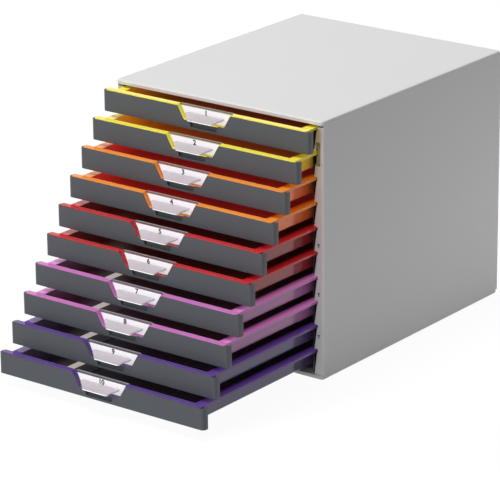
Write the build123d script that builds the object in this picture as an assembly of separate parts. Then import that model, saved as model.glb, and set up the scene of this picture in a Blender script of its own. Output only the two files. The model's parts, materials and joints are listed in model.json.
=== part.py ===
from build123d import *
import math
import os

# Desktop drawer unit with ten A4 drawers, in millimetres. X runs to the right, Y to the back, Z up.
# The origin is on the desk under the middle of the cabinet. At rest the drawers stand pulled out as a
# staircase, the lowest one furthest.

# Cabinet
cabinet_width = 280.0
cabinet_depth = 340.0
cabinet_height = 292.0
foot_height = 2.0
foot_half = 9.0
foot_inset = 24.0
foot_socket = 0.8
foot_bevel = 0.6
plan_corner = 4.0
edge_bevel = 1.0
lip_overhang = 2.0

# Top cover and base plate
cover_skin = 2.5
cover_lip_height = 4.5
cover_lip_depth = 4.0
cover_slit = 0.8
cover_rib = 2.0
cover_rib_height = 1.5
base_height = 4.3
base_floor = 2.5
base_rim = 14.0
base_rib = 2.0
base_rib_count = 3

# Side panels
side_skin = 2.5
side_front_round = 2.4
strip_depth = 3.0
strip_tooth_reach = 3.9
strip_slot_play = 0.2
strip_waist_reach = 1.0
strip_slot_under = 3.6
strip_slot_over = 0.6
strip_tooth_rise = 0.4
return_depth = 2.5
return_overlap = 2.0
rail_rib = 2.0
rail_rib_count = 4
rail_rib_inset = 17.0
latch_slot_width = 1.2
latch_slot_height = 3.5
latch_slot_inset = 4.4
# Drawer that a slot stands beside, and how far above its flange
latch_slot_places = ((6, 5.6), (8, 6.0), (10, 13.4))
lock_recess_inset = 7.5
lock_recess_width = 6.0
# It starts beside the drawer that is this many down, and is nearly a drawer's pitch high
lock_recess_drawer_count = 3
lock_recess_rise = 13.0
lock_recess_trim = 1.7

# Back panel
back_skin = 2.5
back_rib = 1.6
back_rib_height = 3.0
back_rib_count = 5
back_gap = 0.1

# Guide rails: a corrugated wall, bent out to the side where each tray flange runs
rail_rib_reach = 3.5
rail_slot_depth = 8.4
rail_wall = 1.6
slot_over_flange = 1.8
slot_under_flange = 0.3
stop_lug_length = 6.0
stop_lug_inset = 1.0
stop_lug_over_flange = 0.6
stop_lug_width = 4.0

# Drawers
drawer_count = 10
flange_drop = 3.1
bottom_clear = 7.4
tray_gap = 6.3
first_opening = 17.1
opening_step = 20.35
full_opening = 250.0
front_gap = 0.5

# Tray
tray_side_play = 2.7
tray_wall = 1.8
tray_draft = 1.4
tray_corner = 3.5
tray_bottom_bevel = 1.6
tray_rear_gap = 13.0
tray_rear_rim = 3.0
tray_bead_place = 55.0
tray_bead_width = 2.0
tray_bead_height = 0.6
tray_bead_inset = 30.0
flange_play = 1.4
flange_skin = 1.6
flange_lip_height = 2.6
panel_inset = 4.0
panel_skin = 1.8
rim_inset = 3.5
rim_rise = 2.6
rim_skin = 1.2
rim_corner = 2.0
rim_recess = 0.3
nub_height = 1.2
nub_length = 4.0
nub_width = 3.0
nub_play = 0.3

# Label notch, measured at the rim's visible outline
notch_top_half = 36.8
notch_bottom_half = 27.5
notch_depth = 15.8
notch_shoulder = 5.0
notch_toe = 2.5
fit_gap = 0.2

# Front plate
plate_inset = 0.2
plate_gap = 4.1
plate_depth = 7.5
plate_skin = 2.2
plate_return = 2.0
plate_end_round = 4.2
plate_rib = 2.0
plate_rib_first = 50.0
plate_rib_spacing = 37.5
plate_rib_clear = 5.0
# A thin edge of the plate covers the front of the tray's band round the notch
notch_lip_skin = 0.8
scoop_top_half = 20.0
scoop_bottom_half = 17.0
scoop_margin = 2.6
scoop_depth = 3.0
scoop_wall = 1.2
# Shape of the scoop's curve, as shares of its own height and depth
scoop_flat_share = 0.3
scoop_bend_drop = 0.8
scoop_bend_depth = 0.72

# Clear label holder with its grip lip, and the card behind it
window_front = 3.7
window_skin = 1.0
hook_skin = 1.0
hook_drop = 4.0
hook_inset = 1.5
hook_play = 0.4
lip_reach = 8.0
lip_root_drop = 7.5
lip_crown_drop = 9.2
lip_crown_reach = 3.4
lip_tip_drop = 13.5
lip_root_half = 25.0
lip_tip_half = 15.5
lip_corner = 6.0
lip_skin = 1.2
card_skin = 0.4
card_gap = 0.1
card_top_half = 33.0
card_bottom_half = 26.5
card_top_margin = 1.6
card_bottom_margin = 0.6

# Pale strips that lie in the four lowest trays
strip_tray_count = 4
floor_strip_width = 9.0
floor_strip_thickness = 0.6
floor_strip_offset = 85.5
floor_strip_length = 150.0
floor_strip_gap = 1.6

# Places worked out from the sizes above
half_width = cabinet_width / 2
cabinet_front = -cabinet_depth / 2
cabinet_back = cabinet_depth / 2
base_top = foot_height + base_height
cover_bottom = cabinet_height - cover_skin
lip_front = cabinet_front - lip_overhang
lip_back = lip_front + cover_lip_depth
lip_bottom = cabinet_height - cover_lip_height
side_inner = half_width - side_skin
rail_back = side_inner - rail_rib_reach
rail_slot_face = rail_back - rail_wall
rail_face = rail_slot_face - rail_slot_depth
strip_tooth = rail_face + strip_tooth_reach
strip_slot = rail_slot_face - strip_slot_play
strip_waist = strip_slot - strip_waist_reach
rail_front_y = cabinet_front + strip_depth
return_back = cabinet_back - back_skin
rail_rear_y = return_back - return_depth
closed_front = cabinet_front - front_gap - plate_depth
top_flange_level = lip_bottom - flange_drop
drawer_pitch = (top_flange_level - base_top - bottom_clear + tray_gap) / drawer_count
tray_height = drawer_pitch - tray_gap
plate_height = drawer_pitch - plate_gap
tray_half_width = rail_face - tray_side_play
flange_half_width = rail_slot_face - flange_play
panel_half_width = half_width - panel_inset
rim_half_width = half_width - rim_inset
plate_half_width = half_width - plate_inset
tray_rear = cabinet_back - tray_rear_gap - closed_front
panel_front = plate_depth - rim_recess - panel_skin
panel_back = panel_front + panel_skin
stop_face = rail_front_y + stop_lug_inset + stop_lug_length
# Anything cut right through is cut this much further, to leave no skin
over = 1.0
# Corners and edges are picked to within this distance
near = 0.01


def block(x0, x1, y0, y1, z0, z1):
    return Pos((x0 + x1) / 2, (y0 + y1) / 2, (z0 + z1) / 2) * Box(x1 - x0, y1 - y0, z1 - z0)


def both_sides(shape):
    return [shape, mirror(shape, about=Plane.YZ)]


def rounded_face(points, rounds):
    """A flat face inside a closed outline, with the listed corners rounded."""
    face = make_face(Polyline(*points, close=True)).face()
    for corners, radius in rounds:
        chosen = [v for v in face.vertices() if any((Vector(*v) - Vector(*c)).length < near for c in corners)]
        face = face.fillet_2d(radius, chosen)
    return face


def along_x(points, x0, x1):
    """An outline in Y and Z, run from x0 to x1."""
    face = rounded_face([(x0, y, z) for y, z in points], ())
    return extrude(face, amount=x1 - x0, dir=(1, 0, 0))


def along_y(points, y0, y1, rounds=()):
    """An outline in X and Z, run from y0 to y1."""
    placed = [([(x, y0, z) for x, z in corners], radius) for corners, radius in rounds]
    face = rounded_face([(x, y0, z) for x, z in points], placed)
    return extrude(face, amount=y1 - y0, dir=(0, 1, 0))


def along_z(points, z0, z1, rounds=()):
    """An outline in X and Y, run from z0 to z1."""
    placed = [([(x, y, z0) for x, y in corners], radius) for corners, radius in rounds]
    face = rounded_face([(x, y, z0) for x, y in points], placed)
    return extrude(face, amount=z1 - z0, dir=(0, 0, 1))


def mirrored(points):
    """The right half of an outline followed by its mirror image, so that it closes."""
    return list(points) + [(-x, other) for x, other in reversed(points)]


def flange_level(number):
    """Height of the top of a drawer's side flanges, counting drawers from 1 at the top."""
    return top_flange_level - drawer_pitch * (number - 1)


def rim_level(number):
    return flange_level(number) + rim_rise


def front_plane(number):
    """Y of the outer face of a drawer's front at rest."""
    return closed_front - first_opening - opening_step * (number - 1)


# Cabinet


def plan_slab(z0, z1):
    """The cabinet's outline in plan with rounded corners, from z0 to z1."""
    corners = mirrored([(half_width, lip_front), (half_width, cabinet_back)])
    return along_z(corners, z0, z1, ((corners, plan_corner),))


def make_top_cover():
    cover = plan_slab(lip_bottom, cabinet_height)
    cover = chamfer(cover.faces().sort_by(Axis.Z)[-1].edges(), edge_bevel)
    cover -= block(-half_width - over, half_width + over, lip_back, cabinet_back + over,
                   lip_bottom - over, cover_bottom)
    # Ribs underneath that keep the guide rails from leaning inwards
    rib_outer = rail_face - fit_gap
    rib = block(rib_outer - cover_rib, rib_outer, rail_front_y + base_rim, rail_rear_y - base_rim,
                cover_bottom - cover_rib_height, cover_bottom)
    for piece in both_sides(rib):
        cover += piece
    return cover


def strip_outline():
    """Right front strip: a saw-tooth inner edge with a slot for each tray flange."""
    outer = side_inner + over
    top = lip_bottom - cover_slit
    points = [(outer, base_top), (strip_tooth, base_top)]
    for number in range(drawer_count, 0, -1):
        level = flange_level(number)
        points.append((strip_waist, level - strip_slot_under))
        points.append((strip_slot, level - strip_slot_under))
        points.append((strip_slot, level + strip_slot_over))
        points.append((strip_tooth, level + strip_slot_over + strip_tooth_rise))
    return points[:-1] + [(strip_slot, top), (outer, top)]


def make_side_panel(side):
    """A side panel, built as the right one and mirrored for the left."""
    panel = block(side_inner, half_width, cabinet_front, cabinet_back, base_top, cover_bottom)
    panel -= block(side_inner - over, half_width + over, cabinet_front - over, lip_back + fit_gap,
                   lip_bottom - cover_slit, cover_bottom + over)
    panel += along_y(strip_outline(), cabinet_front, rail_front_y)
    front_edges = [
        e for e in panel.edges().filter_by(Axis.Z)
        if e.center().X > half_width - near and e.center().Y < cabinet_front + near
    ]
    panel = fillet(front_edges, side_front_round)
    panel += block(rail_back - return_overlap, side_inner, rail_rear_y, return_back, base_top, cover_bottom)
    first = rail_front_y + rail_rib_inset
    spacing = (rail_rear_y - rail_rib_inset - first) / (rail_rib_count - 1)
    for i in range(rail_rib_count):
        y = first + spacing * i
        panel += block(rail_back, side_inner, y - rail_rib / 2, y + rail_rib / 2, base_top, cover_bottom)
    slot_side = side_inner - latch_slot_inset
    for number, rise in latch_slot_places:
        bottom = flange_level(number) + rise
        panel -= block(slot_side, slot_side + latch_slot_width, cabinet_front - over, rail_front_y + over,
                       bottom, bottom + latch_slot_height)
    if side > 0:
        recess_side = side_inner - lock_recess_inset
        bottom = flange_level(lock_recess_drawer_count) + lock_recess_rise
        return panel - block(recess_side, recess_side + lock_recess_width, cabinet_front - over,
                             rail_front_y + over, bottom, bottom + drawer_pitch - lock_recess_trim)
    return mirror(panel, about=Plane.YZ)


def rail_outline():
    """Right guide rail: one thin wall of even thickness, bent out round each flange slot."""
    inner = [(rail_face, base_top)]
    outer = [(rail_face + rail_wall, base_top)]
    for number in range(drawer_count, 0, -1):
        shelf = flange_level(number) - flange_lip_height - slot_under_flange
        ceiling = flange_level(number) + slot_over_flange
        inner += [(rail_face, shelf), (rail_slot_face, shelf)]
        inner += [(rail_slot_face, ceiling), (rail_face, ceiling)]
        outer += [(rail_face + rail_wall, shelf - rail_wall), (rail_back, shelf - rail_wall)]
        outer += [(rail_back, ceiling + rail_wall), (rail_face + rail_wall, ceiling + rail_wall)]
    inner.append((rail_face, cover_bottom))
    outer.append((rail_face + rail_wall, cover_bottom))
    return inner + list(reversed(outer))


def make_guide_rail(side):
    rail = along_y(rail_outline(), rail_front_y, rail_rear_y)
    for number in range(1, drawer_count + 1):
        level = flange_level(number)
        rail += block(flange_half_width - stop_lug_width, flange_half_width, rail_front_y + stop_lug_inset,
                      stop_face, level + stop_lug_over_flange, level + slot_over_flange + rail_wall / 2)
    return rail if side > 0 else mirror(rail, about=Plane.YZ)


def make_back_panel():
    x = side_inner - back_gap
    panel = block(-x, x, return_back, cabinet_back, base_top, cover_bottom)
    rib_x = rail_face - cover_rib
    spacing = (cover_bottom - base_top) / (back_rib_count + 1)
    for i in range(back_rib_count):
        z = base_top + spacing * (i + 1)
        panel += block(-rib_x, rib_x, return_back - back_rib_height, return_back,
                       z - back_rib / 2, z + back_rib / 2)
    return panel


def foot_places():
    x = half_width - foot_inset
    y = cabinet_back - foot_inset
    return [(sx * x, sy * y) for sx in (-1, 1) for sy in (-1, 1)]


def foot_block(place, half, z0, z1):
    x, y = place
    return block(x - half, x + half, y - half, y + half, z0, z1)


def make_base_plate():
    base = plan_slab(foot_height, base_top)
    base = chamfer(base.faces().sort_by(Axis.Z)[0].edges(), edge_bevel)
    pocket_x = rail_face - cover_rib
    floor = foot_height + base_floor
    base -= block(-pocket_x, pocket_x, lip_front + base_rim, cabinet_back - base_rim, floor, base_top + over)
    for i in range(base_rib_count):
        x = pocket_x * (2 * (i + 1) / (base_rib_count + 1) - 1)
        base += block(x - base_rib / 2, x + base_rib / 2, lip_front + base_rim, cabinet_back - base_rim,
                      floor, base_top)
    for place in foot_places():
        base -= foot_block(place, foot_half + fit_gap, foot_height - over, foot_height + foot_socket)
    return base


def make_feet():
    """Four rubber feet, seated in shallow sockets under the base."""
    feet = []
    for place in foot_places():
        foot = foot_block(place, foot_half, 0, foot_height + foot_socket)
        feet.append(chamfer(foot.edges().group_by(Axis.Z)[0], foot_bevel))
    return Compound(children=feet)


# Drawer pieces, each made at its own height with the front's outer face at y = 0


def notch_half(drop, grow=0.0):
    """Half width of the label notch at a drop below the rim, with its sides moved out by grow."""
    slope = (notch_top_half - notch_bottom_half) / notch_depth
    return notch_top_half - slope * drop + grow * math.hypot(1, slope)


def front_outline(half, rim_top, grow, bottom, round_toes=True):
    """The front wall seen from ahead with the notch in its top edge, drawn inwards by grow."""
    top = rim_top - grow
    low = rim_top - notch_depth - grow
    shoulder = notch_half(grow, grow)
    toe = notch_half(notch_depth + grow, grow)
    points = mirrored([(half, bottom), (half, top), (shoulder, top), (toe, low)])
    rounds = [([(shoulder, top), (-shoulder, top)], notch_shoulder - grow)]
    if round_toes:
        rounds.append(([(toe, low), (-toe, low)], notch_toe + grow))
    return points, rounds


def tub(half, y0, y1, low, high, corner, spread, bevel=0.0):
    """A block with cut plan corners that widens by spread from its floor to its top, on all sides but
    the front, with a bevel round its floor."""
    def outline(z, inset):
        side = half - inset
        rear = y1 - inset
        points = mirrored([(side - corner, y0), (side, y0 + corner),
                           (side, rear - corner), (side - corner, rear)])
        return rounded_face([(x, y, z) for x, y in points], ())

    sections = [outline(low + bevel, spread * (1 - bevel / (high - low))), outline(high, 0)]
    if bevel:
        sections.insert(0, outline(low, spread + bevel))
    return loft(sections, ruled=True)


def make_tray(number):
    level = flange_level(number)
    floor = level - tray_height
    rim_top = rim_level(number)
    outside = tub(tray_half_width, panel_front, tray_rear, floor, level, tray_corner, tray_draft,
                  tray_bottom_bevel)
    slope = tray_draft / tray_height
    inside = tub(tray_half_width - tray_wall + over * slope, panel_back, tray_rear - tray_wall + over * slope,
                 floor + tray_wall, level + over, tray_corner - tray_wall / 2,
                 slope * (tray_height - tray_wall + over))
    # Side flanges with a turned-down lip, and a narrow rim along the back
    flanges = block(-flange_half_width, flange_half_width, panel_front, tray_rear, level - flange_skin, level)
    flanges += block(-tray_half_width, tray_half_width, tray_rear - tray_wall, tray_rear + tray_rear_rim,
                     level - flange_skin, level)
    lip = block(flange_half_width - flange_skin, flange_half_width, panel_back, tray_rear,
                level - flange_lip_height, level)
    # Front wall, wider than the tray, and the rim bent forward along its top and round the notch
    wall = block(-panel_half_width, panel_half_width, panel_front, panel_back, floor, rim_top)
    band_points, band_rounds = front_outline(rim_half_width, rim_top, 0, rim_top - notch_depth - 2 * rim_skin)
    core_points, core_rounds = front_outline(rim_half_width + over, rim_top, rim_skin,
                                             rim_top - notch_depth - 3 * rim_skin, False)
    band = along_y(band_points, rim_recess, panel_front, band_rounds)
    band -= along_y(core_points, rim_recess - over, panel_front + over, core_rounds)
    # Below the rim the band starts behind the plate's thin edge
    band -= block(-notch_top_half - over, notch_top_half + over, rim_recess - over, notch_lip_skin + fit_gap,
                  rim_top - notch_depth - 3 * rim_skin, rim_top - rim_skin)
    band = chamfer([
        e for e in band.edges().filter_by(Axis.Z)
        if abs(e.center().X) > rim_half_width - near and e.center().Y < rim_recess + near
    ], rim_corner)
    tray = outside + flanges + wall + band
    for piece in both_sides(lip):
        tray += piece
    tray -= inside
    # Over the label the wall is lower, to make room for the holder's hook
    hook_half = notch_top_half - hook_inset + fit_gap
    tray -= block(-hook_half, hook_half, panel_front - over / 2, panel_back + over,
                  rim_top - hook_skin - fit_gap, rim_top + over)
    # Stop nubs on the flanges, which meet the rails' lugs when the drawer is fully open
    nub_front = stop_face + full_opening - closed_front + nub_play
    nub_side = flange_half_width - (stop_lug_width - nub_width) / 2
    nub = along_x([
        (nub_front, level - flange_skin / 2), (nub_front, level + nub_height),
        (nub_front + nub_length / 2, level + nub_height), (nub_front + nub_length, level),
        (nub_front + nub_length, level - flange_skin / 2),
    ], nub_side - nub_width, nub_side)
    bead = block(tray_bead_place - tray_bead_width / 2, tray_bead_place + tray_bead_width / 2,
                 tray_bead_inset, tray_rear - tray_bead_inset, floor + tray_wall - tray_bead_height,
                 floor + tray_wall + tray_bead_height)
    for piece in both_sides(nub) + both_sides(bead):
        tray += piece
    return tray


def make_front_plate(number):
    rim_top = rim_level(number)
    top = rim_top - rim_skin - fit_gap
    bottom = top - plate_height
    front_corners = [(plate_half_width, 0), (-plate_half_width, 0)]
    plate = along_z(mirrored([(plate_half_width, 0), (plate_half_width, plate_depth)]), bottom, top,
                    ((front_corners, plate_end_round),))
    inner = plate_half_width - plate_skin
    plate -= block(-inner, inner, plate_skin, plate_depth + over, bottom + plate_return, top + over)
    plate -= block(-inner, inner, panel_front - fit_gap, plate_depth + over,
                   bottom - over, bottom + 2 * plate_return)
    # Ribs that bear on the tray's front wall
    place = plate_rib_first
    while place < panel_half_width - plate_rib_clear:
        rib = block(place - plate_rib / 2, place + plate_rib / 2, plate_skin / 2, panel_front,
                    bottom + plate_return + fit_gap, top - rim_skin)
        for piece in both_sides(rib):
            plate += piece
        place += plate_rib_spacing
    # Scooped finger recess under the notch, with a wall of its own behind it
    scoop_top = rim_top - notch_depth
    scoop_low = bottom + scoop_margin
    scoop_height = scoop_top - scoop_low
    plate += along_y(mirrored([
        (scoop_top_half + scoop_wall, scoop_top), (scoop_bottom_half + scoop_wall, scoop_low - scoop_wall),
    ]), plate_skin / 2, scoop_depth + scoop_wall)
    mask = along_y(mirrored([(scoop_top_half, scoop_top + over), (scoop_bottom_half, scoop_low)]),
                   -over, scoop_depth + over)
    curve_top = (0, scoop_depth, scoop_top - scoop_height * scoop_flat_share)
    curve_bend = (0, scoop_depth * scoop_bend_depth, scoop_top - scoop_height * scoop_bend_drop)
    curve_end = (0, 0, scoop_low)
    profile = make_face([
        ThreePointArc(curve_top, curve_bend, curve_end),
        Polyline(curve_end, (0, -over, scoop_low), (0, -over, scoop_top + over),
                 (0, scoop_depth, scoop_top + over), curve_top),
    ]).face()
    plate -= mask & extrude(profile, amount=scoop_top_half + over, dir=(1, 0, 0), both=True)
    # The notch, with its thin edge in front and room for the tray's band behind it
    edge_points, edge_rounds = front_outline(plate_half_width + over, rim_top, 0, bottom - over)
    back_points, back_rounds = front_outline(plate_half_width + over, rim_top, rim_skin + fit_gap,
                                             bottom - over, False)
    keep = along_y(edge_points, -over, notch_lip_skin, edge_rounds)
    keep += along_y(back_points, notch_lip_skin, plate_depth + over, back_rounds)
    return plate & keep


def make_label_holder(number):
    rim_top = rim_level(number)
    window_back = window_front + window_skin
    low = notch_depth - fit_gap
    low_corner = (notch_half(low, -fit_gap), rim_top - low)
    holder = along_y(mirrored([(notch_half(hook_skin, -fit_gap), rim_top - hook_skin), low_corner]),
                     window_front, window_back,
                     (([low_corner, (-low_corner[0], low_corner[1])], notch_toe),))
    # Hook over the tray's front wall
    half = notch_top_half - hook_inset
    tab_front = panel_back + hook_play
    tab_back = tab_front + hook_skin
    holder += block(-half, half, window_front, tab_back, rim_top - hook_skin, rim_top)
    holder += block(-half, half, tab_front, tab_back, rim_top - hook_drop, rim_top)
    # Grip lip: a curved sheet that leaves the window and reaches forward and down
    root_y = window_front + window_skin / 2
    root = (0, root_y, rim_top - lip_root_drop)
    crown = (0, -lip_crown_reach, rim_top - lip_crown_drop)
    tip = (0, -lip_reach, rim_top - lip_tip_drop)
    under_root = (0, root_y, root[2] - lip_skin)
    under_crown = (0, crown[1] + lip_skin / 2, crown[2] - lip_skin)
    under_tip = (0, tip[1] + lip_skin, tip[2])
    profile = make_face([
        ThreePointArc(root, crown, tip),
        Line(tip, under_tip),
        ThreePointArc(under_tip, under_crown, under_root),
        Line(under_root, root),
    ]).face()
    sheet = extrude(profile, amount=lip_root_half + over, dir=(1, 0, 0), both=True)
    front_corners = [(lip_tip_half, -lip_reach - fit_gap), (-lip_tip_half, -lip_reach - fit_gap)]
    plan = along_z(mirrored([(lip_root_half, root_y), (lip_root_half, 0), front_corners[0]]),
                   rim_top - notch_depth - over, rim_top, ((front_corners, lip_corner),))
    return holder + (sheet & plan)


def make_label_card(number):
    rim_top = rim_level(number)
    front = window_front + window_skin + card_gap
    return along_y(mirrored([
        (card_top_half, rim_top - card_top_margin),
        (card_bottom_half, rim_top - notch_depth + card_bottom_margin),
    ]), front, front + card_skin)


def make_floor_strip(number):
    """A pale strip lying on the tray floor behind the label holder's hook."""
    floor = flange_level(number) - tray_height + tray_wall
    y0 = panel_back + floor_strip_gap
    return block(-floor_strip_offset, floor_strip_width - floor_strip_offset, y0, y0 + floor_strip_length,
                 floor, floor + floor_strip_thickness)


def build():
    nodes = {
        "top_cover": make_top_cover(),
        "side_panel_right": make_side_panel(1),
        "side_panel_left": make_side_panel(-1),
        "guide_rail_right": make_guide_rail(1),
        "guide_rail_left": make_guide_rail(-1),
        "back_panel": make_back_panel(),
        "base_plate": make_base_plate(),
        "feet": make_feet(),
    }
    for number in range(1, drawer_count + 1):
        place = Pos(0, front_plane(number), 0)
        nodes[f"tray_{number:02d}"] = place * make_tray(number)
        nodes[f"front_plate_{number:02d}"] = place * make_front_plate(number)
        nodes[f"label_holder_{number:02d}"] = place * make_label_holder(number)
        nodes[f"label_card_{number:02d}"] = place * make_label_card(number)
        if number > drawer_count - strip_tray_count:
            nodes[f"floor_strip_{number:02d}"] = place * make_floor_strip(number)
    return nodes


os.makedirs("parts", exist_ok=True)
for name, shape in build().items():
    export_step(shape, f"parts/{name}.step")
    print(name, "solids", len(shape.solids()))
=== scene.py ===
import bpy
import bmesh
import json
import math
from mathutils import Matrix, Vector


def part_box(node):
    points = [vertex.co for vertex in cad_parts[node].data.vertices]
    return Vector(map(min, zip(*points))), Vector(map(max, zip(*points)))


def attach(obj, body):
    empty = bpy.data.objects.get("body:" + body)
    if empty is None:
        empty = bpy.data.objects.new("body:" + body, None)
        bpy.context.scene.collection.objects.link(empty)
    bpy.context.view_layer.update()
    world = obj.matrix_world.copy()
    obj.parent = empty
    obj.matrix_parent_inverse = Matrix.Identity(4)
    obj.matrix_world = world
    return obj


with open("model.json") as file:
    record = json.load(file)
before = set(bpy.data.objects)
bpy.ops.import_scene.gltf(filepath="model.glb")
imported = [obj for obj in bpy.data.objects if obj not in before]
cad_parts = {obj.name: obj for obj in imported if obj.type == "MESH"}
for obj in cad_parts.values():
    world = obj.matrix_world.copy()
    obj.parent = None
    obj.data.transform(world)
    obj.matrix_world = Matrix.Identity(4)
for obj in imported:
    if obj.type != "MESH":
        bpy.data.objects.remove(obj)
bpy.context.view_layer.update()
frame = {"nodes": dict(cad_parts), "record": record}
print("frame loaded,", len(frame["nodes"]), "nodes")

mm = 0.001
white = (1.0, 1.0, 1.0, 1.0)
black = (0.0, 0.0, 0.0, 1.0)
bevelSamples = 6  # of the softened edges in every finish

# Sizes of the frame that finishes and added pieces follow, in metres
drawers = {
    "count": 10, "pitch": 27.7 * mm, "rimTop": 287.0 * mm, "play": 0.05 * mm,
    "flangeDrop": 2.6 * mm, "floorDrop": 24.0 * mm, "notchDrop": 15.8 * mm,
    "closedFront": 178.0 * mm, "firstOpening": 17.1 * mm, "openingStep": 20.35 * mm,
    "wallBack": 7.2 * mm, "trayHalf": 119.9 * mm,
}


class Wire:
    # an output that can be used in sums
    def __init__(self, board, socket):
        self.board = board
        self.socket = socket

    def mathNode(self, operation, first, second=0.0):
        return self.board.node("ShaderNodeMath", {"operation": operation}, {0: first, 1: second})

    def __add__(self, other):
        return self.mathNode("ADD", self, other)

    def __radd__(self, other):
        return self.mathNode("ADD", other, self)

    def __sub__(self, other):
        return self.mathNode("SUBTRACT", self, other)

    def __rsub__(self, other):
        return self.mathNode("SUBTRACT", other, self)

    def __mul__(self, other):
        return self.mathNode("MULTIPLY", self, other)

    def __rmul__(self, other):
        return self.mathNode("MULTIPLY", other, self)

    def __gt__(self, other):
        return self.mathNode("GREATER_THAN", self, other)

    def __lt__(self, other):
        return self.mathNode("LESS_THAN", self, other)

    def __abs__(self):
        return self.mathNode("ABSOLUTE", self)

    def atLeast(self, other):
        return self.mathNode("MAXIMUM", self, other)

    def wholePart(self):
        return self.mathNode("FLOOR", self)


class Board:
    # a node tree that nodes are added to
    def __init__(self, tree):
        self.tree = tree

    def node(self, kind, settings=None, sockets=None, output=0):
        made = self.tree.nodes.new(kind)
        for key, value in (settings or {}).items():
            setattr(made, key, value)
        for key, value in (sockets or {}).items():
            self.feed(made.inputs[key], value)
        return Wire(self, made.outputs[output])

    def feed(self, socket, value):
        if isinstance(value, Wire):
            self.tree.links.new(value.socket, socket)
        else:
            socket.default_value = value

    def limited(self, operation, first, second):
        # a result held between 0 and 1
        return self.node("ShaderNodeMath", {"operation": operation, "use_clamp": True},
                         {0: first, 1: second})

    def isRay(self, kind):
        return self.node("ShaderNodeLightPath", output="Is %s Ray" % kind)


class Finish(Board):
    # one material
    def __init__(self, name):
        self.material = bpy.data.materials.new(name)
        self.material.use_nodes = True
        super().__init__(self.material.node_tree)
        self.shader = self.tree.nodes["Principled BSDF"]
        self.output = self.tree.nodes["Material Output"]

    def set(self, **values):
        for key, value in values.items():
            self.feed(self.shader.inputs[key.replace("_", " ")], value)

    def place(self):
        return self.node("ShaderNodeTexCoord", output="Object")

    def along(self, axis):
        return self.node("ShaderNodeSeparateXYZ", {}, {0: self.place()}, axis)

    def noise(self, scale, detail, rough=0.5):
        return self.node("ShaderNodeTexNoise", {}, {
            "Vector": self.place(), "Scale": scale, "Detail": detail, "Roughness": rough})

    def mixColour(self, factor, first, second):
        return self.node("ShaderNodeMix", {"data_type": "RGBA"}, {0: factor, 6: first, 7: second},
                         output=2)

    def grain(self, height, look):
        # bump from a height, over a normal that is softened at sharp edges
        rounded = self.node("ShaderNodeBevel", {"samples": bevelSamples}, {"Radius": look["edge"]})
        return self.node("ShaderNodeBump", {}, {
            "Height": height, "Distance": look["bump"], "Strength": look["strength"],
            "Normal": rounded})

    def mixShaders(self, factor, first, second):
        return self.node("ShaderNodeMixShader", {}, {0: factor, 1: first, 2: second})

    def show(self, shader):
        self.feed(self.output.inputs["Surface"], shader)

    def plastic(self):
        return Wire(self, self.shader.outputs[0])

    def inDrawer(self):
        # across, depth behind the front and drop below the rim, each in the piece's own drawer
        level = (drawers["rimTop"] + drawers["play"] - self.along("Z")) * (1 / drawers["pitch"])
        above = level.wholePart()
        drop = (level - above) * drawers["pitch"]
        closed = self.along("Y") + drawers["closedFront"]
        depth = closed + drawers["firstOpening"] + above * drawers["openingStep"]
        return abs(self.along("X")), depth, drop


def shade(red, green, blue):
    # a screen colour of 0-255 as the linear colour that nodes take
    def linear(value):
        value = value / 255
        return value / 12.92 if value <= 0.04045 else ((value + 0.055) / 1.055) ** 2.4
    return (linear(red), linear(green), linear(blue), 1.0)


def varied(colour, factor):
    return tuple(channel * factor for channel in colour[:3]) + (1.0,)


# In each look, grain, cloud, haze and fibre are noises: scale, detail and, where given, roughness

# Light grey shell of the cabinet: fine spark-eroded grain under a satin sheen, with painted shade:
# a dark line painted where the gap under the cover's lip shows at both ends of the front
shellLook = {
    "colour": shade(210, 210, 210), "dark": 0.965, "cloud": (9.0, 3.0), "cloudShare": 0.6,
    "roughness": 0.46, "roughVaries": 0.1, "grain": (1400.0, 1.0, 0.4),
    "bump": 0.06 * mm, "strength": 0.3, "edge": 0.5 * mm,
    "gapShade": shade(24, 26, 26), "gapLow": 285.0 * mm, "gapHigh": 286.4 * mm,
    "gapStart": 130.0 * mm, "gapBack": -169.2 * mm,
}


def shellPlastic():
    look = shellLook
    finish = Finish("shellPlastic")
    height = finish.along("Z")
    # painted shade: the gap under the cover's lip is painted as a dark line on the strip's front
    gapShade = ((height > look["gapLow"]) * (height < look["gapHigh"])
           * (abs(finish.along("X")) > look["gapStart"]) * (finish.along("Y") < look["gapBack"]))
    plain = finish.mixColour(finish.noise(*look["cloud"]) * look["cloudShare"], look["colour"],
                             varied(look["colour"], look["dark"]))
    fine = finish.noise(*look["grain"])
    finish.set(Base_Color=finish.mixColour(gapShade, plain, look["gapShade"]),
               Roughness=look["roughness"] + fine * look["roughVaries"],
               Normal=finish.grain(fine, look))
    return finish.material


# Anthracite of the front plates, with painted shade in the finger recess under the lip
plateLook = {
    "colour": shade(67, 71, 77), "dark": 0.88, "cloud": (14.0, 3.0), "cloudShare": 0.7,
    "roughness": 0.4, "roughVaries": 0.14, "grain": (1800.0, 1.0, 0.4),
    "bump": 0.05 * mm, "strength": 0.35, "edge": 0.5 * mm,
    "recess": shade(66, 72, 74), "recessShare": 0.8, "recessHalf": 20.2 * mm,
    "recessLift": 0.2 * mm, "recessDepth": 0.04 * mm, "recessBack": 3.3 * mm,
}


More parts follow.
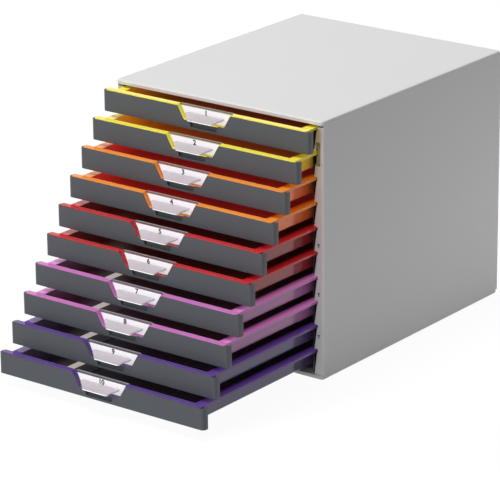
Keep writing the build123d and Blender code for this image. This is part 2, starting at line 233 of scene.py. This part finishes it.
def platePlastic():
    look = plateLook
    finish = Finish("platePlastic")
    across, depth, drop = finish.inDrawer()
    recess = ((across < look["recessHalf"]) * (depth > look["recessDepth"])
              * (drop > drawers["notchDrop"] - look["recessLift"]) * (depth < look["recessBack"]))
    fine = finish.noise(*look["grain"])
    finish.set(Base_Color=finish.mixColour(finish.noise(*look["cloud"]) * look["cloudShare"],
                                           look["colour"], varied(look["colour"], look["dark"])),
               Roughness=look["roughness"] + fine * look["roughVaries"],
               Normal=finish.grain(fine, look))
    # painted shade: a duller, darker diffuse is mixed in over the recess
    recessShadeShader = finish.node("ShaderNodeBsdfDiffuse", {}, {"Color": look["recess"]})
    finish.show(finish.mixShaders(recess * look["recessShare"], finish.plastic(), recessShadeShader))
    return finish.material


# Glossy coloured trays, duller inside, with painted light and shade: clear bright at the rim, a
# painted deeper tone on the walls and the deepest painted shade inside, for the light that has
# passed from wall to wall and that the thin plastic passes a little on
trayLook = {
    "roughness": 0.07, "roughVaries": 0.04, "roughInside": 0.3, "haze": (60.0, 1.0, 0.4),
    "bump": 0.01 * mm, "strength": 0.15, "edge": 0.35 * mm, "dark": 0.92, "cloud": (22.0, 2.0),
    "flangeHalf": 128.6 * mm, "margin": 0.1 * mm, "insideDrop": 0.15 * mm, "floorLift": 0.9 * mm,
    "wallNear": 100.0 * mm, "wallReach": 18.0 * mm, "wallShare": 0.7,
    "glow": 0.75, "fadeStart": 0.15, "fadeLength": 80.0 * mm, "fadeEnd": 0.2,
    "flangeSpread": 8.0 * mm, "wallFade": 60.0 * mm, "underCover": 0.45,
}
# of each: rim, painted tone of the outer wall and painted shade of the inside, then the painted
# light that stands for what comes through the inside at its left and at its right, through the wall
# and through the flange
trayColours = {
    "yellow": (shade(252, 236, 74), shade(252, 218, 92), shade(226, 126, 62),
               shade(158, 104, 26), shade(82, 56, 36), shade(142, 118, 42), shade(120, 104, 24)),
    "orange": (shade(246, 148, 46), shade(242, 124, 64), shade(216, 66, 64),
               shade(140, 34, 32), shade(108, 34, 32), shade(116, 52, 26), shade(144, 70, 16)),
    "red": (shade(198, 28, 34), shade(160, 54, 56), shade(144, 54, 50),
            shade(56, 20, 20), shade(30, 16, 14), shade(20, 8, 8), shade(130, 24, 28)),
    "pink": (shade(204, 118, 190), shade(178, 116, 168), shade(112, 66, 84),
             shade(42, 24, 32), shade(26, 20, 18), shade(16, 8, 16), shade(160, 94, 146)),
    "violet": (shade(88, 56, 134), shade(94, 80, 122), shade(72, 54, 74),
               shade(32, 24, 34), shade(24, 20, 22), shade(14, 12, 20), shade(72, 46, 102)),
}


def trayPlastic(name):
    look = trayLook
    (rimColour, paintedWallTone, paintedInsideShade,
     leftGlow, rightGlow, wallGlow, flangeGlow) = trayColours[name]
    finish = Finish("trayPlastic" + name.capitalize())
    across, depth, drop = finish.inDrawer()

    flangeEnd = drawers["flangeDrop"] + look["margin"]
    wallEnd = drawers["wallBack"] - look["margin"]
    beside = across > drawers["trayHalf"]
    rim = ((drop < flangeEnd) + (depth < wallEnd) + (across > look["flangeHalf"])) > 0.5
    inside = ((across < drawers["trayHalf"]) * (drop > drawers["flangeDrop"] + look["insideDrop"])
              * (drop < drawers["floorDrop"] - look["floorLift"]) * (depth > wallEnd))
    flange = beside * (depth > drawers["wallBack"]) * (drop < flangeEnd)
    outer = beside * (1 - rim)

    # the painted light inside fades to the back and to the right, and painted shade makes it weaker
    # under the cover
    start = 1 + look["fadeStart"]
    fade = finish.limited("SUBTRACT", start, depth * (1 / look["fadeLength"]))
    lower = (drawers["rimTop"] - finish.along("Z")) > drawers["pitch"]
    uncovered = look["underCover"] + lower * (1 - look["underCover"])
    toLeft = 0.5 - finish.along("X") * (0.5 / drawers["trayHalf"])
    fromLeft = toLeft * toLeft
    glow = finish.mixColour(inside * fade.atLeast(look["fadeEnd"]) * uncovered, black,
                            finish.mixColour(fromLeft * fromLeft, rightGlow, leftGlow))
    # painted light on the outer wall near the front, and on the flange, growing outwards
    near = finish.limited("SUBTRACT", start, depth * (1 / look["wallFade"]))
    glow = finish.mixColour(outer * near, glow, wallGlow)
    spread = finish.limited("MULTIPLY", across - drawers["trayHalf"], 1 / look["flangeSpread"])
    glow = finish.mixColour(flange * spread, glow, flangeGlow)

    # painted light: inside, the painted shade turns to the wall's painted tone near the side walls
    nearWall = finish.limited("MULTIPLY", across - look["wallNear"], 1 / look["wallReach"])
    inner = finish.mixColour(nearWall * look["wallShare"], paintedInsideShade, paintedWallTone)
    colour = finish.mixColour(inside, finish.mixColour(rim, paintedWallTone, rimColour), inner)
    # random tone: a cloud noise darkens the colour a little in places
    cloudTone = finish.noise(*look["cloud"]) * (1 - look["dark"])
    haze = finish.noise(*look["haze"])
    # the painted light is given as emission
    finish.set(Base_Color=finish.mixColour(cloudTone, colour, black),
               Emission_Color=glow, Emission_Strength=look["glow"],
               Roughness=(look["roughness"] + haze * look["roughVaries"]
                          + inside * look["roughInside"]),
               Normal=finish.grain(haze, look))
    return finish.material


# Dark guide rails and rubber feet
railLook = {
    "light": shade(50, 49, 50), "dark": shade(38, 38, 39), "mix": 0.5, "grain": (900.0, 2.0),
    "roughness": 0.3, "roughVaries": 0.15, "bump": 0.05 * mm, "strength": 0.3, "edge": 0.4 * mm,
}
footLook = {
    "light": shade(40, 40, 42), "dark": shade(28, 28, 30), "mix": 1.0, "grain": (1200.0, 2.0),
    "roughness": 0.8, "roughVaries": 0.1, "bump": 0.08 * mm, "strength": 0.5, "edge": 0.4 * mm,
}


def evenPlastic(name, look):
    # two tones mixed by a fine grain
    finish = Finish(name)
    fine = finish.noise(*look["grain"])
    finish.set(Base_Color=finish.mixColour(fine * look["mix"], look["light"], look["dark"]),
               Roughness=look["roughness"] + fine * look["roughVaries"],
               Normal=finish.grain(fine, look))
    return finish.material


# Clear moulded holder: the window hardly shows, the frosted grip lip greys what lies behind it,
# its lower edge and the back of its hook carry a painted highlight, and painted shade darkens what
# shows through the hook
clearLook = {
    "clear": (0.985, 0.985, 0.985, 1.0), "frost": shade(196, 188, 194),
    "paintedHighlight": shade(250, 250, 250), "roughness": 0.12, "roughVaries": 0.04, "ior": 1.49,
    "haze": (40.0, 1.0), "bump": 0.01 * mm, "strength": 0.1, "edge": 0.3 * mm,
    "lipDepth": 3.5 * mm, "lipShare": 0.62,
    "rimDrop": 12.9 * mm, "rimDepth": -3.0 * mm, "rimShare": 0.3,
    "hookDrop": 1.15 * mm, "hookShade": (0.72, 0.72, 0.72, 1.0),
    "hookHighlightStart": 6.6 * mm, "hookHighlightShare": 0.2, "least": 0.02, "most": 0.2, "blend": 0.3,
}


def clearPlastic():
    look = clearLook
    finish = Finish("clearPlastic")
    depth, drop = finish.inDrawer()[1:]
    lip = depth < look["lipDepth"]
    rim = (drop > look["rimDrop"]) * (depth < look["rimDepth"])
    hook = (drop < look["hookDrop"]) * (depth > look["lipDepth"])
    hookHighlight = hook * (depth > look["hookHighlightStart"])
    haze = finish.noise(*look["haze"])
    # painted highlight: the lower edge of the lip and the back of the hook take the bright colour
    finish.set(Base_Color=finish.mixColour(rim + hookHighlight, look["frost"], look["paintedHighlight"]),
               Roughness=look["roughness"] + haze * look["roughVaries"], IOR=look["ior"],
               Normal=finish.grain(haze, look))
    through = finish.node("ShaderNodeBsdfTransparent", {}, {"Color": look["clear"]})
    # painted shade: what shows through the hook is darkened
    shaded = finish.node("ShaderNodeBsdfTransparent", {}, {"Color": look["hookShade"]})
    facing = finish.node("ShaderNodeLayerWeight", {}, {"Blend": look["blend"]}, output="Facing")
    solid = (look["least"] + facing * look["most"] + lip * look["lipShare"]
             + rim * look["rimShare"] + hookHighlight * look["hookHighlightShare"])
    finish.show(finish.mixShaders(solid, finish.mixShaders(hook, through, shaded),
                                  finish.plastic()))
    return finish.material


# White label card, with painted light: an even glow makes it look brighter than its place is lit
cardLook = {
    "light": shade(252, 250, 253), "dark": shade(243, 241, 244), "mix": 0.4,
    "fibre": (2400.0, 3.0, 0.6), "glowColour": shade(112, 110, 116), "glow": 1.0,
    "roughness": 0.85, "bump": 0.04 * mm, "strength": 0.3, "edge": 0.1 * mm,
}


def cardPaper():
    look = cardLook
    finish = Finish("cardPaper")
    fibre = finish.noise(*look["fibre"])
    finish.set(Base_Color=finish.mixColour(fibre * look["mix"], look["light"], look["dark"]),
               Emission_Color=look["glowColour"], Emission_Strength=look["glow"],
               Roughness=look["roughness"], Normal=finish.grain(fibre, look))
    return finish.material


# Pale card strips that lie in the lower trays, with painted light: a glow keeps them bright in the
# shade of the trays
stripLook = {
    "light": shade(236, 231, 226), "dark": shade(222, 217, 211), "mix": 0.5,
    "fibre": (900.0, 3.0, 0.6), "glowLight": shade(214, 208, 202), "glowDark": shade(200, 194, 188),
    "glow": 0.6, "roughness": 0.75, "bump": 0.04 * mm, "strength": 0.3, "edge": 0.1 * mm,
}


def stripCard():
    look = stripLook
    finish = Finish("stripCard")
    fibre = finish.noise(*look["fibre"])
    share = fibre * look["mix"]
    finish.set(Base_Color=finish.mixColour(share, look["light"], look["dark"]),
               Emission_Color=finish.mixColour(share, look["glowLight"], look["glowDark"]),
               Emission_Strength=look["glow"], Roughness=look["roughness"],
               Normal=finish.grain(fibre, look))
    return finish.material


finishes = {
    "grey_shell": shellPlastic(),
    "dark_rail": evenPlastic("railPlastic", railLook),
    "rubber_feet": evenPlastic("footRubber", footLook),
    "anthracite_front": platePlastic(),
    "clear_holder": clearPlastic(),
    "white_card": cardPaper(),
    "pale_strip": stripCard(),
}
for colourName in trayColours:
    finishes["tray_" + colourName] = trayPlastic(colourName)
print("finishes made,", len(finishes))

# The frame's own nodes get their finishes by slot
slotOfNode = {part["node"]: part["material_slot"] for part in frame["record"]["subparts"]}
for nodeName, node in frame["nodes"].items():
    if not node.material_slots:
        node.data.materials.append(None)
    for materialSlot in node.material_slots:
        materialSlot.material = finishes[slotOfNode[nodeName]]
print("finishes put on the nodes")


def putInScene(name, data):
    thing = bpy.data.objects.new(name, data)
    bpy.context.scene.collection.objects.link(thing)
    return thing


def addPiece(name, mesh, body):
    piece = putInScene(name, mesh)
    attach(piece, body)
    return piece


def extruded(name, outline, look, finish):
    # an outline in X and Z, run from the look's front to its back, with rounded edges
    shape = bmesh.new()
    face = shape.faces.new([shape.verts.new((x, look["front"], z)) for x, z in outline])
    grown = bmesh.ops.extrude_face_region(shape, geom=[face])["geom"]
    bmesh.ops.translate(shape, verts=[v for v in grown if isinstance(v, bmesh.types.BMVert)],
                        vec=(0, look["back"] - look["front"], 0))
    bmesh.ops.recalc_face_normals(shape, faces=shape.faces[:])
    bmesh.ops.bevel(shape, geom=shape.edges[:], offset=look["bevel"], segments=3, profile=0.5,
                    affect="EDGES", material=-1)
    mesh = bpy.data.meshes.new(name)
    shape.to_mesh(mesh)
    shape.free()
    mesh.materials.append(finish)
    return mesh


# Plain numbers printed on the upper half of the cards
numberLook = {
    "size": 7.8 * mm, "weight": 0.34 * mm, "lift": 0.02 * mm, "thickness": 0.02 * mm,
    "belowRim": 5.2 * mm, "ink": shade(20, 21, 23), "thinInk": shade(34, 35, 38), "mix": 0.5,
    "fibre": (2400.0, 3.0, 0.6), "roughness": 0.75,
}


def cardInk():
    look = numberLook
    finish = Finish("cardInk")
    share = finish.noise(*look["fibre"]) * look["mix"]
    finish.set(Base_Color=finish.mixColour(share, look["ink"], look["thinInk"]),
               Roughness=look["roughness"])
    return finish.material


def cardNumber(number, ink):
    look = numberLook
    low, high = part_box("label_card_%02d" % number)
    text = bpy.data.curves.new("cardNumberText", "FONT")
    text.body = str(number)
    text.size = look["size"]
    text.align_x = "CENTER"
    text.align_y = "CENTER"
    text.extrude = look["thickness"] / 2
    text.offset = look["weight"]
    letters = putInScene("cardNumberText", text)
    bpy.context.view_layer.update()
    shown = letters.evaluated_get(bpy.context.evaluated_depsgraph_get())
    flat = bpy.data.meshes.new_from_object(shown)
    bpy.data.objects.remove(letters)
    front = low.y - look["lift"] - look["thickness"]
    height = drawers["rimTop"] - drawers["pitch"] * (number - 1) - look["belowRim"]
    upright = Matrix.Rotation(math.radians(90), 4, "X")
    flat.transform(Matrix.Translation(((low.x + high.x) / 2, front, height)) @ upright)
    flat.materials.clear()
    flat.materials.append(ink)
    addPiece("card_number_%02d" % number, flat, "drawer_%02d" % number)


numberInk = cardInk()
for number in range(1, drawers["count"] + 1):
    cardNumber(number, numberInk)
print("card numbers made")

# The catch that shows in the recess of the right front strip, with room for the second tray's
# flange; its olive colour is painted shade, standing for the shaded view into the recess
catchLook = {
    "left": 130.3 * mm, "waist": 132.0 * mm, "right": 135.8 * mm,
    "low": 242.3 * mm, "waistLow": 252.6 * mm, "waistHigh": 259.4 * mm, "high": 267.7 * mm,
    "front": -168.9 * mm, "back": -167.6 * mm, "bevel": 0.25 * mm,
    # painted shade: the olive tones stand for the shaded view into the recess
    "light": shade(148, 142, 108), "dark": shade(130, 124, 94), "mix": 0.6, "grain": (700.0, 2.0),
    "roughness": 0.5, "roughVaries": 0.15, "bump": 0.05 * mm, "strength": 0.3, "edge": 0.3 * mm,
}


def recessCatch():
    look = catchLook
    outline = [(look["left"], look["low"]), (look["right"], look["low"]),
               (look["right"], look["high"]), (look["left"], look["high"]),
               (look["left"], look["waistHigh"]), (look["waist"], look["waistHigh"]),
               (look["waist"], look["waistLow"]), (look["left"], look["waistLow"])]
    mesh = extruded("recess_catch", outline, look, evenPlastic("catchPaintedShade", look))
    addPiece("recess_catch", mesh, "cabinet")


recessCatch()
print("recess catch made")

# Dark ends of the latches, which stand a little out of the small slots of both front strips
latchLook = {
    "middle": 133.7 * mm, "stem": 1.2 * mm, "bar": 3.2 * mm, "height": 4.2 * mm,
    "barHeight": 1.1 * mm, "front": -170.25 * mm, "back": -168.4 * mm, "bevel": 0.12 * mm,
    "levels": (151.2 * mm, 96.2 * mm, 48.2 * mm),
}


def latchEnd(number, side, level):
    look = latchLook
    name = "latch_end_%s_%d" % ("right" if side > 0 else "left", number)
    middle, stem, bar = look["middle"] * side, look["stem"] / 2, look["bar"] / 2
    top = level + look["height"]
    shoulder = top - look["barHeight"]
    outline = [(middle - stem, level), (middle + stem, level),
               (middle + stem, shoulder), (middle + bar, shoulder),
               (middle + bar, top), (middle - bar, top),
               (middle - bar, shoulder), (middle - stem, shoulder)]
    mesh = extruded(name, outline, look, finishes["dark_rail"])
    piece = addPiece(name, mesh, "cabinet")


for side in (1, -1):
    for number, level in enumerate(latchLook["levels"], 1):
        latchEnd(number, side, level)
print("latch ends made")

# White floor that keeps a faint shadow
floorLook = {
    "size": 12.0, "level": 0.52, "dark": 0.98, "mottle": (3.0, 2.0), "mottleShare": 0.2,
    "roughness": 0.9, "glow": 1.1, "shadowShare": 0.14,
}


def floorFinish():
    look = floorLook
    finish = Finish("floorWhite")
    plain = varied(white, look["level"])
    finish.set(Base_Color=finish.mixColour(finish.noise(*look["mottle"]) * look["mottleShare"],
                                           plain, varied(plain, look["dark"])),
               Roughness=look["roughness"], Specular_IOR_Level=0.0)
    glow = finish.node("ShaderNodeEmission", {}, {"Color": white, "Strength": look["glow"]})
    seen = finish.isRay("Camera").atLeast(finish.isRay("Glossy"))
    seen = seen.atLeast(finish.isRay("Transmission"))
    finish.show(finish.mixShaders(seen * (1 - look["shadowShare"]), finish.plastic(), glow))
    return finish.material


def makeFloor():
    shape = bmesh.new()
    bmesh.ops.create_grid(shape, x_segments=1, y_segments=1, size=floorLook["size"] / 2)
    mesh = bpy.data.meshes.new("floor")
    shape.to_mesh(mesh)
    shape.free()
    mesh.materials.append(floorFinish())
    floor = putInScene("floor", mesh)


makeFloor()

# White surroundings that light the object only a little, and soft boxes
worldLook = {"ambient": 0.15, "seen": 1.0, "reflected": 0.9}


def makeWorld():
    look = worldLook
    world = bpy.data.worlds.new("studio")
    bpy.context.scene.world = world
    world.use_nodes = True
    board = Board(world.node_tree)
    seen = board.isRay("Camera").atLeast(board.isRay("Transmission"))
    strength = (look["ambient"] + seen * (look["seen"] - look["ambient"])
                + board.isRay("Glossy") * (look["reflected"] - look["ambient"]))
    background = board.tree.nodes["Background"]
    board.feed(background.inputs["Color"], white)
    board.feed(background.inputs["Strength"], strength)


makeWorld()

lampLooks = {
    "topBox": {"at": (-1.1, -0.4, 5.0), "aim": (0.0, -0.1, 0.2),
               "size": 2.2, "power": 214.0, "spread": 180.0},
    "frontBox": {"at": (-1.4, -1.9, 0.9), "aim": (-0.1, -0.2, 0.15),
                 "size": 1.2, "power": 12.5, "spread": 180.0},
    "fillBox": {"at": (0.5, -3.2, 0.45), "aim": (0.0, -0.2, 0.15),
                "size": 1.4, "power": 45.0, "spread": 180.0},
    "sideBox": {"at": (0.85, 0.95, 0.2), "aim": (0.14, 0.1, -0.06),
                "size": 0.4, "power": 0.3, "spread": 50.0},
}
for lampName, look in lampLooks.items():
    lamp = bpy.data.lights.new(lampName, "AREA")
    lamp.shape = "SQUARE"
    lamp.size = look["size"]
    lamp.energy = look["power"]
    lamp.spread = math.radians(look["spread"])
    direction = Vector(look["aim"]) - Vector(look["at"])
    turn = direction.to_track_quat("-Z", "Y").to_matrix().to_4x4()
    putInScene(lampName, lamp).matrix_world = Matrix.Translation(look["at"]) @ turn

# The camera stands where a fit to the photograph put it
cameraLook = {
    "yaw": 37.58, "pitch": 19.27, "roll": -0.57, "distance": 3.547,
    "target": (-0.0891, 0.0, 0.0551), "lens": 221.3, "sensor": 36.0, "reach": 50.0,
}


def makeCamera():
    look = cameraLook
    yaw, pitch, roll = (math.radians(look[key]) for key in ("yaw", "pitch", "roll"))
    forward = Vector((-math.sin(yaw) * math.cos(pitch), math.cos(yaw) * math.cos(pitch),
                      -math.sin(pitch)))
    right = Vector((math.cos(yaw), math.sin(yaw), 0))
    up = right.cross(forward)
    tilted = right * math.cos(roll) + up * math.sin(roll)
    upright = up * math.cos(roll) - right * math.sin(roll)
    data = bpy.data.cameras.new("camera")
    data.sensor_fit = "HORIZONTAL"
    data.sensor_width = look["sensor"]
    data.lens = look["lens"]
    data.clip_end = look["reach"]
    camera = putInScene("camera", data)
    place = Vector(look["target"]) - forward * look["distance"]
    turn = Matrix((tilted, upright, -forward)).transposed().to_4x4()
    camera.matrix_world = Matrix.Translation(place) @ turn
    bpy.context.scene.camera = camera


makeCamera()
bpy.context.scene.view_settings.view_transform = "Standard"
print("stage, lamps and camera set")
